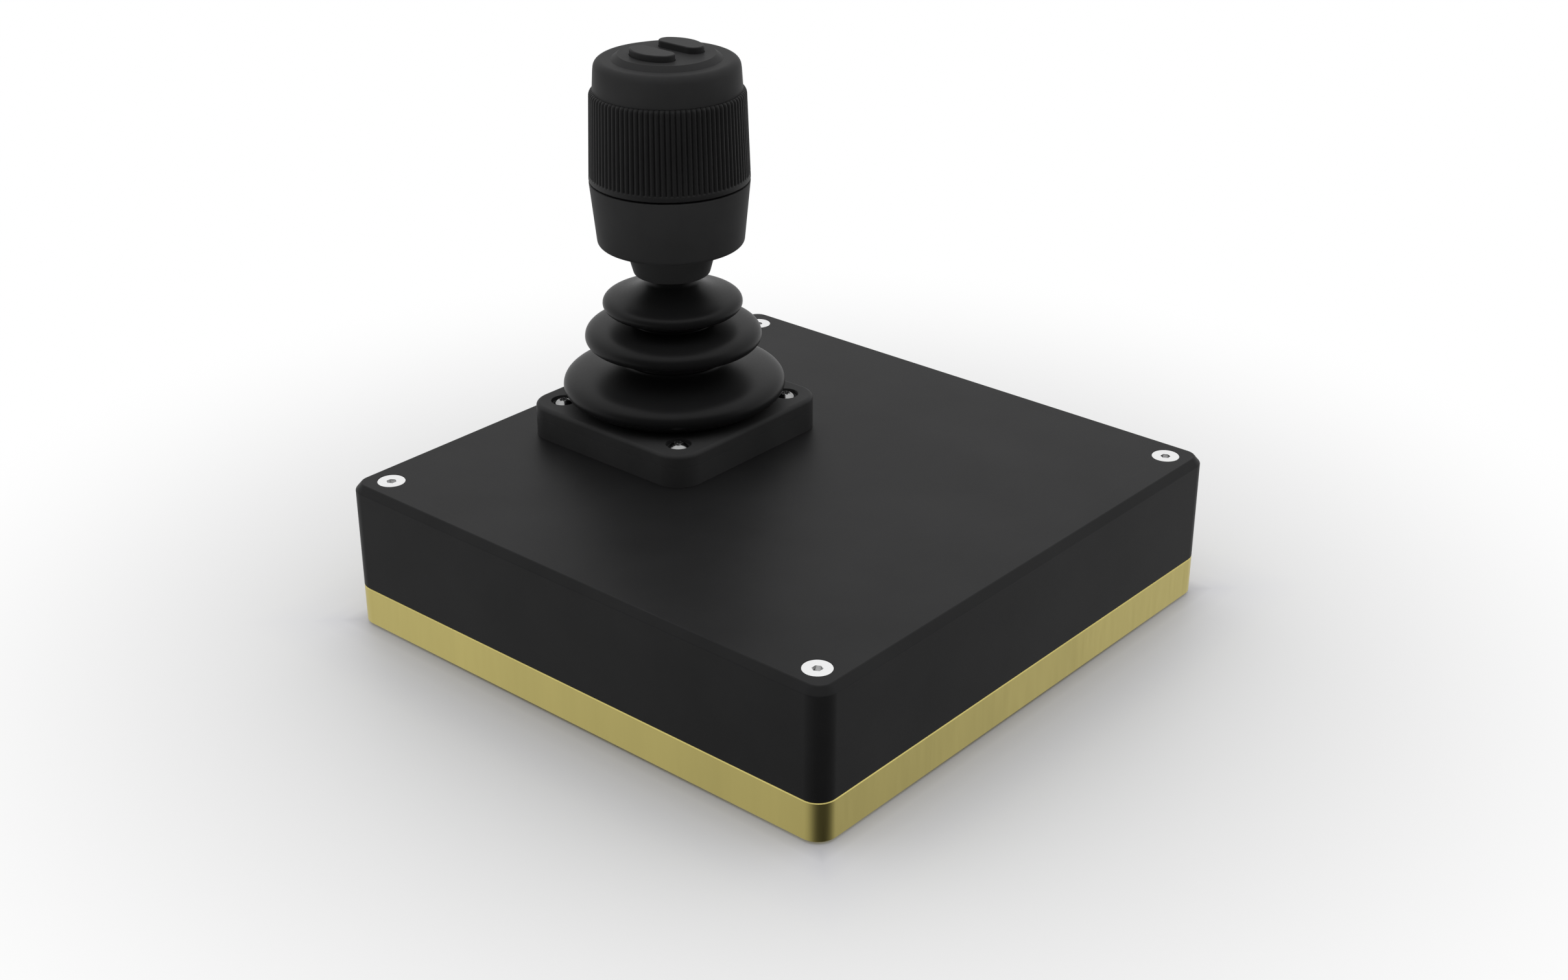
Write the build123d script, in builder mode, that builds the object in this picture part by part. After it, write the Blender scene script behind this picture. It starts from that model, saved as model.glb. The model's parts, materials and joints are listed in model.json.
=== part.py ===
from build123d import *
import math
import os

# Three-axis industrial joystick on a desk box. Millimetres, +Z up, user's side at -Y.
# The origin lies on the floor, below the middle of the box.

os.makedirs("parts", exist_ok=True)

# Box
case_width = 175.0
case_height = 44.2
tray_height = 11.85
corner_r = 5.75
top_chamfer_in = 1.8
top_chamfer_down = 2.1
tray_edge_break = 0.3
tray_bottom_break = 0.5
wall = 4.0
top_thickness = 4.0
tray_floor = 4.0
post_size = 18.0
tongue_wall = 2.0
tongue_height = 2.5
tongue_gap = 0.15
seal_width = 1.3
seal_height = 1.0
seal_inset = 2.2
seal_gap = 0.1

# Rubber feet
foot_r = 6.0
foot_height = 1.0
foot_proud = 0.4
foot_inset = 20.0
foot_gap = 0.2

# Countersunk case screws
case_screw_inset = 8.9
case_screw_r = 1.95
case_screw_head_r = 4.0
case_screw_length = 40.0
case_screw_hole_r = 2.25
case_screw_rim_gap = 0.1
case_screw_socket = 2.5
case_screw_socket_depth = 1.6
tapped_gap = 0.05
tapped_extra = 1.0

# Joystick body, bezel and their screws
stick_inset = 45.35
flange_width = 62.5
flange_corner_r = 8.0
flange_height = 6.1
bezel_height = 4.0
bezel_edge_r = 1.2
bezel_opening_r = 26.4
body_r = 26.5
body_wall = 3.0
body_depth = 30.0
cutout_gap = 0.5
cover_height = 2.0
cover_boss_r = 3.0
cover_boss_height = 6.0
cover_screw_count = 3
cover_screw_angle = 90.0
flange_screw_spacing = 46.4
flange_screw_r = 1.45
flange_screw_length = 12.0
flange_screw_hole_r = 1.7
flange_screw_head_r = 2.95
flange_screw_head_height = 1.6
flange_screw_seat_depth = 1.1
flange_screw_bore_r = 3.7
flange_screw_socket_r = 1.4
flange_screw_socket_depth = 1.0
socket_core = 0.78
socket_lobe = 0.28
socket_lobe_count = 6
flange_seal_width = 2.0
flange_seal_height = 0.8
flange_seal_gap = 0.1

# Gimbal
pivot_drop = 7.0
ring_r = 18.0
ring_bore_r = 13.0
ring_height = 7.0
pin_r = 1.75
pin_gap = 0.05
bush_wall = 0.75
hub_width = 12.0
hub_depth = 17.0
hub_height = 12.0
tilt_spring_wire = 0.8
tilt_spring_turns = 4.0
tilt_spring_gap = 0.3
hub_corner_r = 1.0
pin_setback = 0.4
bush_setback = 0.4
bore_curve = 0.3

# Shaft and the parts that hang below the pivot
shaft_r = 4.0
shaft_bore_r = 2.0
shaft_collar_r = 5.5
shaft_collar_height = 4.0
shaft_thread_end = 0.5
slip_gap = 0.05
magnet_r = 3.0
magnet_height = 2.5
magnet_holder_r = 5.0
magnet_holder_height = 8.0
shaft_tail = 4.0
board_thickness = 1.6
chip_size = 5.0
chip_height = 1.0
sensor_board_gap = 0.5
sensor_pillar_r = 2.4
sensor_pillar_height = 4.0
sensor_pillar_inset = 4.5
sensor_screw_count = 3
sensor_screw_angle = 30.0
small_screw_r = 0.95
small_screw_head_r = 1.8
small_screw_head_height = 1.2
small_screw_length = 5.0
small_hole_gap = 0.1

# Boot, heights above the box's top; lists run from the bottom lobe to the top one
boot_wall = 1.4
boot_gap = 0.3
boot_rim_r = 28.6
boot_rim_height = 1.2
boot_base_r = 26.1
boot_neck_r = 7.2
lobe_radii = [32.55, 25.7, 20.3]
lobe_heights = [15.4, 30.3, 40.45]
lobe_drops = [4.1, 2.1, 3.0]
lobe_noses = [3.0, 0.8, 3.0]
lobe_rises = [5.6, 3.8, 3.7]
root_radii = [15.1, 12.3, boot_neck_r]
root_heights = [23.1, 35.0, 47.3]
root_slopes = [35.0, 5.0, 40.0]
root_reaches = [7.7, 8.5, 8.0]

# Neck cone and handle cup, each stacked on the one below
collar_height = 3.1
cone_height = 9.25
cone_bottom_r = 10.95
cone_top_r = 13.5
cone_edge_r = 0.8
cone_recess = 1.2
cup_height = 18.55
cup_bottom_r = 21.0
cup_top_r = 22.85
cup_edge_r = 1.35
cup_wall = 2.6
cup_floor = 3.5
groove_gap = 0.5

# Twist grip
grip_ring_height = 1.6
grip_bottom_r = 22.9
grip_top_r = 22.0
grip_height = 25.5
grip_bore_r = 19.6
rib_count = 92
rib_depth = 0.55
rib_land = 0.4

# Cap, disc and buttons
cap_bottom_r = 21.0
cap_top_r = 20.5
cap_height = 8.75
cap_edge_r = 2.4
cap_wall = 2.2
cap_spigot_length = 2.4
cap_spigot_wall = 2.4
fit_gap = 0.1
disc_base_r = 15.55
disc_top_r = 13.7
disc_height = 1.35
disc_spigot_r = 13.0
button_r = 10.4
button_inner = 3.0
button_corner_r = 2.85
button_proud = 1.8
button_edge_r = 0.35
button_gap = 0.15
button_lip = 0.7
button_lip_height = 1.0
button_travel = 1.0
button_stem_r = 1.2
button_centre = 6.7
button_spring_wire = 0.3
button_spring_turns = 4.0

# Twist drive inside the handle
spindle_r = 8.0
spindle_flange_r = 14.0
spindle_flange_height = 2.5
spindle_setback = 10.3
spindle_screw_reach = 11.6
spindle_screw_count = 3
twist_bush_wall = 1.5
twist_bush_length = 6.0
running_gap = 0.05
carrier_wall = 2.0
carrier_gap = 1.05
carrier_disc_height = 3.0
clip_height = 0.8
clip_drop = 2.0
clip_inner_r = 7.4
shaft_nut_width = 13.0
shaft_nut_height = 4.0
twist_magnet_wall = 3.2
twist_magnet_height = 4.0
twist_magnet_gap = 1.3
twist_board_width = 8.0
twist_board_thickness = 1.2
twist_board_height = 18.75
twist_board_radius = 17.2
twist_spring_wire = 1.2
twist_spring_turns = 5.0
twist_spring_height = 9.0
button_board_r = 19.4
cap_screw_reach = 16.2
cap_screw_count = 3
cap_screw_angle = 90.0
cap_screw_length = 8.0
cap_boss_r = 2.4
switch_size = 6.0
switch_height = 1.0
plunger_r = 1.0
plunger_height = 0.5
contact_gap = 0.1

# Electronics in the box
main_board_width = 90.0
main_board_depth = 52.0
main_board_y = -36.0
spacer_height = 6.0
spacer_width = 5.5
board_hole_inset = 4.0
board_screw_r = 1.45
board_screw_head_r = 2.7
board_screw_head_height = 1.6
board_screw_length = 5.0
board_hole_r = 1.6

# Round cable socket in the rear wall
socket_x = 45.0
socket_height = 27.5
socket_flange_r = 10.0
socket_flange_height = 1.8
socket_r = 7.9
socket_bore_r = 5.5
socket_length = 14.0
socket_depth = 7.0
socket_insert_r = 4.1
socket_pin_r = 0.5
socket_nut_width = 20.0
socket_nut_height = 3.0
socket_insert_setback = 1.0
socket_pin_reach = 2.6
socket_pin_count = 4
socket_pin_angle = 45.0
socket_contact_length = 4.0
header_size = (14.0, 6.0, 7.0)
main_chip_sizes = [(-20.0, 4.0, 12.0, 1.6), (6.0, -6.0, 8.0, 1.4), (24.0, 8.0, 5.0, 1.2)]

# Places worked out from the sizes above
tray_bottom = foot_proud
stick_y = case_width / 2 - stick_inset
tray_top = tray_bottom + tray_height
case_top = tray_bottom + case_height
tray_floor_top = tray_bottom + tray_floor
inner_width = case_width - 2 * wall
pivot_z = case_top - pivot_drop
flange_top = case_top + flange_height
bezel_top = flange_top + bezel_height
body_bottom = case_top - body_depth
body_bore_r = body_r - body_wall
case_screw_place = case_width / 2 - case_screw_inset
foot_place = case_width / 2 - foot_inset
boot_top = case_top + root_heights[-1] + collar_height
cone_seat = boot_top + boot_gap
cone_bottom = cone_seat - cone_recess
cup_floor_z = cone_bottom + cone_height
cup_floor_top = cup_floor_z + cup_floor
cup_end = cup_floor_z + cup_height
grip_bottom = cup_end + groove_gap
rib_bottom = grip_bottom + grip_ring_height
grip_end = grip_bottom + grip_height
cap_end = grip_end + cap_height
disc_end = cap_end + disc_height
disc_under = cap_end - cap_wall
button_top = disc_end + button_proud
bush_r = pin_r + pin_gap + bush_wall
hub_bottom = pivot_z - hub_height / 2
hub_bush_start = shaft_r + bush_setback
cover_screw_reach = body_bore_r - cover_boss_r / 2
sensor_board_r = cover_screw_reach - cover_boss_r - sensor_board_gap
sensor_pillar_reach = sensor_board_r - sensor_pillar_inset
sensor_board_bottom = body_bottom + sensor_pillar_height
sensor_board_top = sensor_board_bottom + board_thickness
spindle_end = grip_end - spindle_setback
clip_bottom = spindle_end - clip_drop
shaft_end = spindle_end + shaft_nut_height + shaft_thread_end
carrier_bore_r = spindle_r + running_gap + twist_bush_wall
carrier_r = carrier_bore_r + carrier_wall
carrier_bottom = cup_floor_top + spindle_flange_height + small_screw_head_height + carrier_gap
twist_spring_end = carrier_bottom + twist_spring_wire + twist_spring_height
twist_magnet_bottom = twist_spring_end + twist_magnet_gap
button_board_top = grip_end - cap_spigot_length
button_board_bottom = button_board_top - board_thickness
carrier_disc_bottom = button_board_bottom - carrier_disc_height
plunger_top = button_board_top + switch_height + plunger_height
cap_spigot_r = grip_bore_r - fit_gap
rear_face = case_width / 2


def stick_plane(height):
    """Horizontal plane through the stick's axis at a height above the floor."""
    return Plane((0, stick_y, height), x_dir=(1, 0, 0), z_dir=(0, 0, 1))


def side_plane(x, y, z, direction):
    """Plane at a point whose normal is the given direction."""
    return Plane((x, y, z), z_dir=direction)


def coil(wire, radius, height, turns, plane):
    """Round-wire coil about a plane's normal, its wire centre from 0 to height."""
    with BuildPart() as spring:
        with BuildLine() as path:
            Helix(pitch=height / turns, height=height, radius=radius)
        with BuildSketch(Plane(path.line @ 0, z_dir=path.line % 0)):
            Circle(wire / 2)
        sweep(path=path.line)
    return plane.location * spring.part


def dome_screw(r, length, head_r, head_height, socket_r, socket_depth):
    """Button-head screw with a six-lobed socket, its seat at z = 0."""
    dome_r = (head_r ** 2 + head_height ** 2) / (2 * head_height)
    with BuildPart() as one_screw:
        with BuildSketch(Plane.XZ):
            with BuildLine():
                base = Line((0, 0), (head_r, 0))
                dome = RadiusArc(base @ 1, (0, head_height), -dome_r)
                Line(dome @ 1, (0, 0))
            make_face()
        revolve(axis=Axis.Z)
        Cylinder(r, length, align=(Align.CENTER, Align.CENTER, Align.MAX))
        with BuildSketch(Plane.XY.offset(head_height)):
            Circle(socket_r * socket_core)
            with PolarLocations(socket_r * (1 - socket_lobe), socket_lobe_count):
                Circle(socket_r * socket_lobe)
        extrude(amount=-socket_depth, mode=Mode.SUBTRACT)
    return one_screw.part


def pan_screw(r, length, head_r, head_height):
    """Small flat-topped screw, its seat at z = 0."""
    with BuildPart() as one_screw:
        Cylinder(r, length, align=(Align.CENTER, Align.CENTER, Align.MAX))
        Cylinder(head_r, head_height, align=(Align.CENTER, Align.CENTER, Align.MIN))
        with BuildSketch(Plane.XY.offset(head_height)):
            RegularPolygon(r, 6)
        extrude(amount=-head_height / 2, mode=Mode.SUBTRACT)
    return one_screw.part


def button_outline(side, grow):
    """D-shaped button outline: an arc about the stick's axis, cut straight near the middle."""
    inner = button_inner - grow
    reach = button_r + grow
    with BuildSketch(mode=Mode.PRIVATE) as outline:
        Circle(reach)
        with Locations((inner, 0)):
            Rectangle(2 * reach, 3 * reach, align=(Align.MAX, Align.CENTER), mode=Mode.SUBTRACT)
        fillet(outline.vertices().sort_by(Axis.X)[:2], button_corner_r + grow)
    if side < 0:
        return outline.sketch.mirror(Plane.YZ)
    return outline.sketch


def save(part, name):
    """Give a finished piece its name and write it as a STEP file."""
    part.label = name
    export_step(part, f"parts/{name}.step")


# Box

with BuildPart() as top_shell:
    with BuildSketch(Plane.XY.offset(tray_top)):
        RectangleRounded(case_width, case_width, corner_r)
    extrude(amount=case_top - tray_top)
    shell_rim = top_shell.faces().sort_by(Axis.Z)[-1]
    chamfer(shell_rim.edges(), length=top_chamfer_in, length2=top_chamfer_down, reference=shell_rim)
    with BuildSketch(Plane.XY.offset(tray_top)):
        Rectangle(inner_width, inner_width)
        with GridLocations(2 * case_screw_place, 2 * case_screw_place, 2, 2):
            Rectangle(post_size, post_size, mode=Mode.SUBTRACT)
    extrude(amount=case_top - top_thickness - tray_top, mode=Mode.SUBTRACT)
    with Locations(Plane.XY.offset(case_top)):
        with GridLocations(2 * case_screw_place, 2 * case_screw_place, 2, 2):
            CounterSinkHole(case_screw_hole_r, case_screw_head_r + case_screw_rim_gap,
                            depth=case_top - tray_top, counter_sink_angle=90)
    with Locations(stick_plane(case_top)):
        Hole(body_r + cutout_gap, depth=top_thickness)
        with GridLocations(flange_screw_spacing, flange_screw_spacing, 2, 2):
            Hole(flange_screw_r + tapped_gap, depth=top_thickness)
    with Locations(side_plane(socket_x, rear_face, socket_height, (0, 1, 0))):
        CounterBoreHole(socket_r + fit_gap, socket_flange_r + fit_gap, socket_flange_height, depth=wall)
save(top_shell.part, "top_shell")

with BuildPart() as base_tray:
    with BuildSketch(Plane.XY.offset(tray_bottom)):
        RectangleRounded(case_width, case_width, corner_r)
    extrude(amount=tray_height)
    chamfer(base_tray.faces().sort_by(Axis.Z)[-1].edges(), tray_edge_break)
    chamfer(base_tray.faces().sort_by(Axis.Z)[0].edges(), tray_bottom_break)
    tongue_width = inner_width - 2 * tongue_gap
    with BuildSketch(Plane.XY.offset(tray_top)):
        Rectangle(tongue_width, tongue_width)
        with GridLocations(2 * case_screw_place, 2 * case_screw_place, 2, 2):
            Rectangle(post_size + 2 * tongue_gap, post_size + 2 * tongue_gap, mode=Mode.SUBTRACT)
    extrude(amount=tongue_height)
    with BuildSketch(Plane.XY.offset(tray_floor_top)):
        Rectangle(tongue_width - 2 * tongue_wall, tongue_width - 2 * tongue_wall)
        with GridLocations(2 * case_screw_place, 2 * case_screw_place, 2, 2):
            Rectangle(post_size + 2 * tongue_gap, post_size + 2 * tongue_gap, mode=Mode.SUBTRACT)
    extrude(amount=tray_top + tongue_height - tray_floor_top, mode=Mode.SUBTRACT)
    seal_outer = case_width - 2 * seal_inset
    groove_inner = seal_outer - 2 * seal_width - 2 * seal_gap
    with BuildSketch(Plane.XY.offset(tray_top)):
        RectangleRounded(seal_outer, seal_outer, corner_r)
        RectangleRounded(groove_inner, groove_inner, corner_r - seal_width, mode=Mode.SUBTRACT)
    extrude(amount=-seal_height, mode=Mode.SUBTRACT)
    with Locations(Plane.XY.offset(tray_top)):
        with GridLocations(2 * case_screw_place, 2 * case_screw_place, 2, 2):
            Hole(case_screw_r + tapped_gap,
                 depth=tray_top - (case_top - case_screw_length - case_screw_rim_gap - tapped_extra))
    with Locations(Plane.XY.offset(tray_bottom).rotated((180, 0, 0))):
        with GridLocations(2 * foot_place, 2 * foot_place, 2, 2):
            Hole(foot_r + foot_gap, depth=foot_height - foot_proud)
save(base_tray.part, "base_tray")

seal_inner = seal_outer - seal_gap - 2 * seal_width

with BuildPart() as case_seal:
    with BuildSketch(Plane.XY.offset(tray_top - seal_height)):
        RectangleRounded(seal_outer - seal_gap, seal_outer - seal_gap, corner_r)
        RectangleRounded(seal_inner, seal_inner, corner_r - seal_width, mode=Mode.SUBTRACT)
    extrude(amount=seal_height)
save(case_seal.part, "case_seal")

with BuildPart() as case_screws:
    head_z = case_top - case_screw_rim_gap
    with Locations(Plane.XY.offset(head_z)):
        with GridLocations(2 * case_screw_place, 2 * case_screw_place, 2, 2):
            Cylinder(case_screw_r, case_screw_length, align=(Align.CENTER, Align.CENTER, Align.MAX))
            Cone(case_screw_r, case_screw_head_r, case_screw_head_r - case_screw_r,
                 align=(Align.CENTER, Align.CENTER, Align.MAX))
    with BuildSketch(Plane.XY.offset(head_z)):
        with GridLocations(2 * case_screw_place, 2 * case_screw_place, 2, 2):
            RegularPolygon(case_screw_socket / 2, 6, major_radius=False)
    extrude(amount=-case_screw_socket_depth, mode=Mode.SUBTRACT)
save(case_screws.part, "case_screws")

with BuildPart() as rubber_feet:
    with GridLocations(2 * foot_place, 2 * foot_place, 2, 2):
        Cylinder(foot_r, foot_height, align=(Align.CENTER, Align.CENTER, Align.MIN))
save(rubber_feet.part, "rubber_feet")

# Joystick body that hangs in the box's cut-out

with BuildPart() as joystick_body:
    with BuildSketch(stick_plane(case_top)):
        RectangleRounded(flange_width, flange_width, flange_corner_r)
    extrude(amount=flange_height)
    with BuildSketch(stick_plane(case_top)):
        Circle(body_r)
    extrude(amount=-body_depth)
    with Locations(stick_plane(flange_top)):
        Hole(body_bore_r, depth=flange_height + body_depth)
        with GridLocations(flange_screw_spacing, flange_screw_spacing, 2, 2):
            Hole(flange_screw_hole_r, depth=flange_height)
    with Locations(side_plane(-body_r, stick_y, pivot_z, (1, 0, 0))):
        Hole(pin_r, depth=2 * body_r)
    with BuildSketch(stick_plane(case_top)):
        Circle(body_r + flange_seal_width + cutout_gap)
        Circle(body_r + cutout_gap, mode=Mode.SUBTRACT)
    extrude(amount=flange_seal_height, mode=Mode.SUBTRACT)
    with BuildSketch(stick_plane(body_bottom)):
        with PolarLocations(cover_screw_reach, cover_screw_count, start_angle=cover_screw_angle):
            Circle(cover_boss_r)
            Circle(small_screw_r + tapped_gap, mode=Mode.SUBTRACT)
    extrude(amount=cover_boss_height)
save(joystick_body.part, "joystick_body")

with BuildPart() as flange_seal:
    with BuildSketch(stick_plane(case_top)):
        Circle(body_r + cutout_gap + flange_seal_width - flange_seal_gap)
        Circle(body_r + cutout_gap + flange_seal_gap, mode=Mode.SUBTRACT)
    extrude(amount=flange_seal_height)
save(flange_seal.part, "flange_seal")

with BuildPart() as boot_bezel:
    with BuildSketch(stick_plane(flange_top)):
        RectangleRounded(flange_width, flange_width, flange_corner_r)
    extrude(amount=bezel_height)
    fillet(boot_bezel.faces().sort_by(Axis.Z)[-1].edges(), bezel_edge_r)
    with Locations(stick_plane(bezel_top)):
        Hole(bezel_opening_r, depth=bezel_height)
        with GridLocations(flange_screw_spacing, flange_screw_spacing, 2, 2):
            CounterBoreHole(flange_screw_hole_r, flange_screw_bore_r, flange_screw_seat_depth,
                            depth=bezel_height)
    with BuildSketch(stick_plane(flange_top)):
        Circle(boot_rim_r + fit_gap)
    extrude(amount=boot_rim_height, mode=Mode.SUBTRACT)
save(boot_bezel.part, "boot_bezel")

flange_screw = dome_screw(flange_screw_r, flange_screw_length, flange_screw_head_r, flange_screw_head_height,
                          flange_screw_socket_r, flange_screw_socket_depth)
small_screw = pan_screw(small_screw_r, small_screw_length, small_screw_head_r, small_screw_head_height)
cap_screw = pan_screw(small_screw_r, cap_screw_length, small_screw_head_r, small_screw_head_height)
board_screw = pan_screw(board_screw_r, board_screw_length, board_screw_head_r, board_screw_head_height)

with BuildPart() as flange_screws:
    with Locations(stick_plane(bezel_top - flange_screw_seat_depth)):
        with GridLocations(flange_screw_spacing, flange_screw_spacing, 2, 2):
            add(flange_screw)
save(flange_screws.part, "flange_screws")

with BuildPart() as body_cover:
    with BuildSketch(stick_plane(body_bottom)):
        Circle(body_r)
        with PolarLocations(cover_screw_reach, cover_screw_count, start_angle=cover_screw_angle):
            Circle(small_screw_r + small_hole_gap, mode=Mode.SUBTRACT)
    extrude(amount=-cover_height)
    with BuildSketch(stick_plane(body_bottom)):
        with PolarLocations(sensor_pillar_reach, sensor_screw_count, start_angle=sensor_screw_angle):
            Circle(sensor_pillar_r)
    extrude(amount=sensor_pillar_height)
    with Locations(stick_plane(body_bottom + sensor_pillar_height)):
        with PolarLocations(sensor_pillar_reach, sensor_screw_count, start_angle=sensor_screw_angle):
            Hole(small_screw_r + tapped_gap, depth=sensor_pillar_height)
save(body_cover.part, "body_cover")

with BuildPart() as cover_screws:
    with Locations(stick_plane(body_bottom - cover_height)):
        with PolarLocations(cover_screw_reach, cover_screw_count, start_angle=cover_screw_angle):
            add(small_screw, rotation=(180, 0, 0))
save(cover_screws.part, "cover_screws")

with BuildPart() as sensor_board:
    with BuildSketch(stick_plane(sensor_board_bottom)):
        Circle(sensor_board_r)
        with PolarLocations(sensor_pillar_reach, sensor_screw_count, start_angle=sensor_screw_angle):
            Circle(small_screw_r + small_hole_gap, mode=Mode.SUBTRACT)
    extrude(amount=board_thickness)
save(sensor_board.part, "sensor_board")

with BuildPart() as sensor_chip:
    with Locations(stick_plane(sensor_board_top)):
        Box(chip_size, chip_size, chip_height, align=(Align.CENTER, Align.CENTER, Align.MIN))
save(sensor_chip.part, "sensor_chip")

with BuildPart() as sensor_screws:
    with Locations(stick_plane(sensor_board_top)):
        with PolarLocations(sensor_pillar_reach, sensor_screw_count, start_angle=sensor_screw_angle):
            add(small_screw)
save(sensor_screws.part, "sensor_screws")

# Gimbal: the ring tilts on the outer pins, the hub tilts on the inner pins

with BuildPart() as outer_pins:
    for side in (-1, 1):
        with Locations(side_plane(side * (ring_bore_r + pin_setback), stick_y, pivot_z, (side, 0, 0))):
            Cylinder(pin_r, body_r - ring_bore_r - 2 * pin_setback,
                     align=(Align.CENTER, Align.CENTER, Align.MIN))
save(outer_pins.part, "outer_pins")

with BuildPart() as gimbal_ring:
    with BuildSketch(stick_plane(pivot_z - ring_height / 2)):
        Circle(ring_r)
        Circle(ring_bore_r, mode=Mode.SUBTRACT)
    extrude(amount=ring_height)
    with Locations(side_plane(-ring_r, stick_y, pivot_z, (1, 0, 0))):
        Hole(bush_r, depth=2 * ring_r)
    with Locations(side_plane(0, stick_y - ring_r, pivot_z, (0, 1, 0))):
        Hole(pin_r, depth=2 * ring_r)
save(gimbal_ring.part, "gimbal_ring")

with BuildPart() as ring_bushes:
    for side in (-1, 1):
        with BuildSketch(side_plane(side * (ring_bore_r + bush_setback), stick_y, pivot_z, (side, 0, 0))):
            Circle(bush_r)
            Circle(pin_r + pin_gap, mode=Mode.SUBTRACT)
        extrude(amount=ring_r - ring_bore_r - 2 * bush_setback)
save(ring_bushes.part, "ring_bushes")

with BuildPart() as inner_pins:
    for side in (-1, 1):
        with Locations(side_plane(0, stick_y + side * (shaft_r + pin_setback), pivot_z, (0, side, 0))):
            Cylinder(pin_r, ring_r - shaft_r - 2 * pin_setback,
                     align=(Align.CENTER, Align.CENTER, Align.MIN))
save(inner_pins.part, "inner_pins")

with BuildPart() as pivot_hub:
    with BuildSketch(stick_plane(hub_bottom)):
        RectangleRounded(hub_width, hub_depth, hub_corner_r)
        Circle(shaft_r, mode=Mode.SUBTRACT)
    extrude(amount=hub_height)
    with Locations(side_plane(0, stick_y - hub_depth / 2, pivot_z, (0, 1, 0))):
        Hole(bush_r, depth=hub_depth)
save(pivot_hub.part, "pivot_hub")

with BuildPart() as hub_bushes:
    for side in (-1, 1):
        with BuildSketch(side_plane(0, stick_y + side * hub_bush_start, pivot_z, (0, side, 0))):
            Circle(bush_r)
            Circle(pin_r + pin_gap, mode=Mode.SUBTRACT)
        extrude(amount=hub_depth / 2 - hub_bush_start)
save(hub_bushes.part, "hub_bushes")


def tilt_springs(inner, outer, direction):
    """Two coils about the pins of one tilt axis, between two reaches from the stick's axis."""
    radius = pin_r + tilt_spring_gap + tilt_spring_wire / 2
    start = inner + tilt_spring_gap + tilt_spring_wire / 2
    length = outer - inner - 2 * tilt_spring_gap - tilt_spring_wire
    pair = []
    for side in (-1, 1):
        x, y = side * direction[0], side * direction[1]
        seat = side_plane(x * start, stick_y + y * start, pivot_z, (x, y, 0))
        pair.append(coil(tilt_spring_wire, radius, length, tilt_spring_turns, seat))
    return pair


save(Part() + tilt_springs(ring_r, body_bore_r - bore_curve, (1, 0)), "pitch_springs")
save(Part() + tilt_springs(hub_depth / 2, ring_bore_r - bore_curve, (0, 1)), "roll_springs")

# Stick below the handle

with BuildPart() as shaft:
    with BuildSketch(stick_plane(hub_bottom - shaft_tail)):
        Circle(shaft_r)
    extrude(amount=shaft_end - hub_bottom + shaft_tail)
    with BuildSketch(stick_plane(cone_seat)):
        Circle(shaft_collar_r)
    extrude(amount=-shaft_collar_height)
    with Locations(stick_plane(shaft_end)):
        Hole(shaft_bore_r, depth=shaft_end - hub_bottom + shaft_tail)
save(shaft.part, "shaft")

with BuildPart() as magnet_holder:
    with BuildSketch(stick_plane(hub_bottom)):
        Circle(magnet_holder_r)
    extrude(amount=-magnet_holder_height)
    with Locations(stick_plane(hub_bottom)):
        Hole(shaft_r, depth=shaft_tail)
    with Locations(stick_plane(hub_bottom - magnet_holder_height).rotated((180, 0, 0))):
        Hole(magnet_r, depth=magnet_height)
save(magnet_holder.part, "magnet_holder")

with BuildPart() as tilt_magnet:
    with Locations(stick_plane(hub_bottom - magnet_holder_height)):
        Cylinder(magnet_r, magnet_height, align=(Align.CENTER, Align.CENTER, Align.MIN))
save(tilt_magnet.part, "tilt_magnet")

# Rubber boot: three lobes joined by upright roots, with the same wall all along


def lobe_sides(lobe, inset):
    """Curve points of a lobe's underside and upper side, moved in by a distance."""
    r = lobe_radii[lobe] - inset
    z = case_top + lobe_heights[lobe]
    under_z = z - lobe_drops[lobe] + inset
    start_r = ([boot_base_r] + root_radii)[lobe] - inset
    root_r = root_radii[lobe] - inset
    root_z = case_top + root_heights[lobe] - inset
    slope = math.radians(root_slopes[lobe])
    bend = (root_r + root_reaches[lobe] * math.cos(slope), root_z - root_reaches[lobe] * math.sin(slope))
    under = [(start_r, under_z), (r - lobe_noses[lobe], under_z), (r, (z + under_z) / 2), (r, z)]
    upper = [(r, z), (r, z + lobe_rises[lobe] - inset), bend, (root_r, root_z)]
    return under, upper


def boot_side(inset, bottom):
    """Joined edges of one side of the boot's wall, from a start height to the collar's end."""
    last = (boot_base_r - inset, bottom)
    for lobe in range(len(lobe_radii)):
        under, upper = lobe_sides(lobe, inset)
        Line(last, under[0])
        Bezier(*under)
        Bezier(*upper)
        last = upper[-1]
    Line(last, (boot_neck_r - inset, boot_top))


with BuildPart() as boot:
    with BuildSketch(Plane.XZ):
        with BuildLine():
            boot_side(0, flange_top + boot_rim_height)
            boot_side(boot_wall, flange_top)
            Line((boot_neck_r, boot_top), (boot_neck_r - boot_wall, boot_top))
            Polyline((boot_base_r, flange_top + boot_rim_height), (boot_rim_r, flange_top + boot_rim_height),
                     (boot_rim_r, flange_top), (boot_base_r - boot_wall, flange_top))
        make_face()
    revolve(axis=Axis.Z)
boot_part = Pos(0, stick_y, 0) * boot.part
save(boot_part, "boot")

# Handle: neck cone, cup and the fixed spindle of the twist drive

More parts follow.
